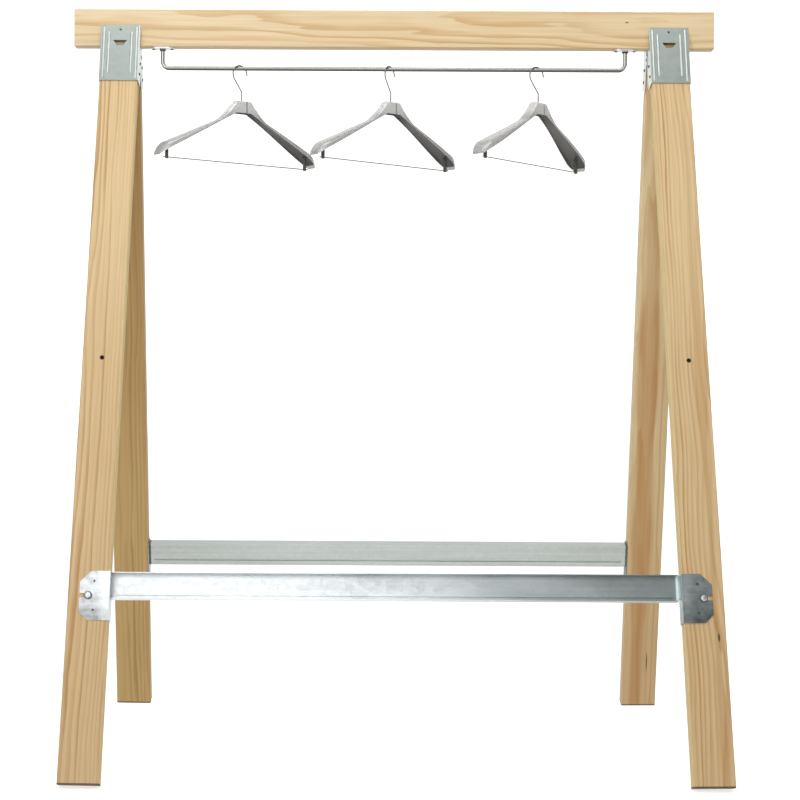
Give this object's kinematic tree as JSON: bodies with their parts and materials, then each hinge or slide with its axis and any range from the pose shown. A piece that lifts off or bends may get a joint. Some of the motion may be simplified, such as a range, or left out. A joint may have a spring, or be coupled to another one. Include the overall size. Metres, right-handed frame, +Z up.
{
  "type": "clothes rack",
  "caption": "Folding timber clothes rack with splayed hinged legs in sheet steel brackets, steel cross rails, a bent hanging rod under the top beam and hangers.",
  "frame": {"origin": "on the floor, under the middle of the top beam", "axes": "+X along the beam to the viewer's right, -Y towards the viewer, +Z up"},
  "size_m": [1.524, 1.0108, 1.7454],
  "materials": {
    "pine": "planed, unfinished",
    "galvanised": "galvanised sheet with a fine spangle",
    "rod_steel": "satin",
    "hanger_plastic": "satin silver",
    "hook_wire": "polished wire",
    "dark_plastic": "matte",
    "screw_steel": "dark phosphated",
    "rivet_steel": "zinc plated",
    "bolt_steel": "zinc plated"
  },
  "bodies": {
    "top": {"top_beam": "pine", "hanging_rod": "rod_steel", "left_rod_flange": "rod_steel", "right_rod_flange": "rod_steel", "rod_flange_screws": "screw_steel"},
    "front_frame": {"front_left_leg": "pine", "front_left_bracket": "galvanised", "front_right_leg": "pine", "front_right_bracket": "galvanised", "front_leg_screws": "screw_steel", "front_rail": "galvanised", "front_rail_bolts": "bolt_steel", "front_rail_washers": "bolt_steel", "left_hinge_rivets": "rivet_steel", "right_hinge_rivets": "rivet_steel"},
    "rear_frame": {"rear_left_leg": "pine", "rear_left_bracket": "galvanised", "rear_right_leg": "pine", "rear_right_bracket": "galvanised", "rear_leg_screws": "screw_steel", "rear_rail": "galvanised", "rear_rail_bolts": "bolt_steel", "rear_rail_washers": "bolt_steel"},
    "left_hook": {"left_hanger_hook": "hook_wire"},
    "left_shoulders": {"left_hanger_body": "hanger_plastic"},
    "left_trouser_bar": {"left_hanger_posts": "dark_plastic", "left_hanger_bar": "hook_wire"},
    "middle_hook": {"middle_hanger_hook": "hook_wire"},
    "middle_shoulders": {"middle_hanger_body": "hanger_plastic"},
    "middle_trouser_bar": {"middle_hanger_posts": "dark_plastic", "middle_hanger_bar": "hook_wire"},
    "right_hook": {"right_hanger_hook": "hook_wire"},
    "right_shoulders": {"right_hanger_body": "hanger_plastic"},
    "right_trouser_bar": {"right_hanger_posts": "dark_plastic", "right_hanger_bar": "hook_wire"}
  },
  "joints": [
    {"name": "front_fold", "type": "hinge", "parent": "top", "child": "front_frame", "pos_m": [0, 0, 1.63236], "axis": [1, 0, 0], "range_deg": [0, 16]},
    {"name": "rear_fold", "type": "hinge", "parent": "top", "child": "rear_frame", "pos_m": [0, 0, 1.63236], "axis": [1, 0, 0], "range_deg": [-16, 0]},
    {"name": "left_hook_slide", "type": "slide", "parent": "top", "child": "left_hook", "axis": [1, 0, 0], "range_m": [-0.01, 0.06]},
    {"name": "left_shoulder_swivel", "type": "hinge", "parent": "left_hook", "child": "left_shoulders", "pos_m": [-0.364, 0.00368, 1.52976], "axis": [0, 0, 1], "range_deg": [-15, 15]},
    {"name": "left_trouser_bar_swing", "type": "hinge", "parent": "left_shoulders", "child": "left_trouser_bar", "pos_m": [-0.37391, 0.01684, 1.4128], "axis": [0.7986, 0.6018, 0], "range_deg": [-20, 20]},
    {"name": "middle_hook_slide", "type": "slide", "parent": "top", "child": "middle_hook", "axis": [1, 0, 0], "range_m": [-0.05, 0.05]},
    {"name": "middle_shoulder_swivel", "type": "hinge", "parent": "middle_hook", "child": "middle_shoulders", "pos_m": [-0.007, 0.00461, 1.52976], "axis": [0, 0, 1], "range_deg": [-15, 15]},
    {"name": "middle_trouser_bar_swing", "type": "hinge", "parent": "middle_shoulders", "child": "middle_trouser_bar", "pos_m": [-0.01781, 0.01705, 1.4128], "axis": [0.7547, 0.6561, 0], "range_deg": [-20, 20]},
    {"name": "right_hook_slide", "type": "slide", "parent": "top", "child": "right_hook", "axis": [1, 0, 0], "range_m": [-0.05, 0.05]},
    {"name": "right_shoulder_swivel", "type": "hinge", "parent": "right_hook", "child": "right_shoulders", "pos_m": [0.346, 0.00315, 1.52976], "axis": [0, 0, 1], "range_deg": [-15, 15]},
    {"name": "right_trouser_bar_swing", "type": "hinge", "parent": "right_shoulders", "child": "right_trouser_bar", "pos_m": [0.3332, 0.01352, 1.4128], "axis": [0.6293, 0.7771, 0], "range_deg": [-20, 20]}
  ],
  "couplings": [
    {"joint": "rear_fold", "follows": "front_fold", "ratio": -1}
  ]
}
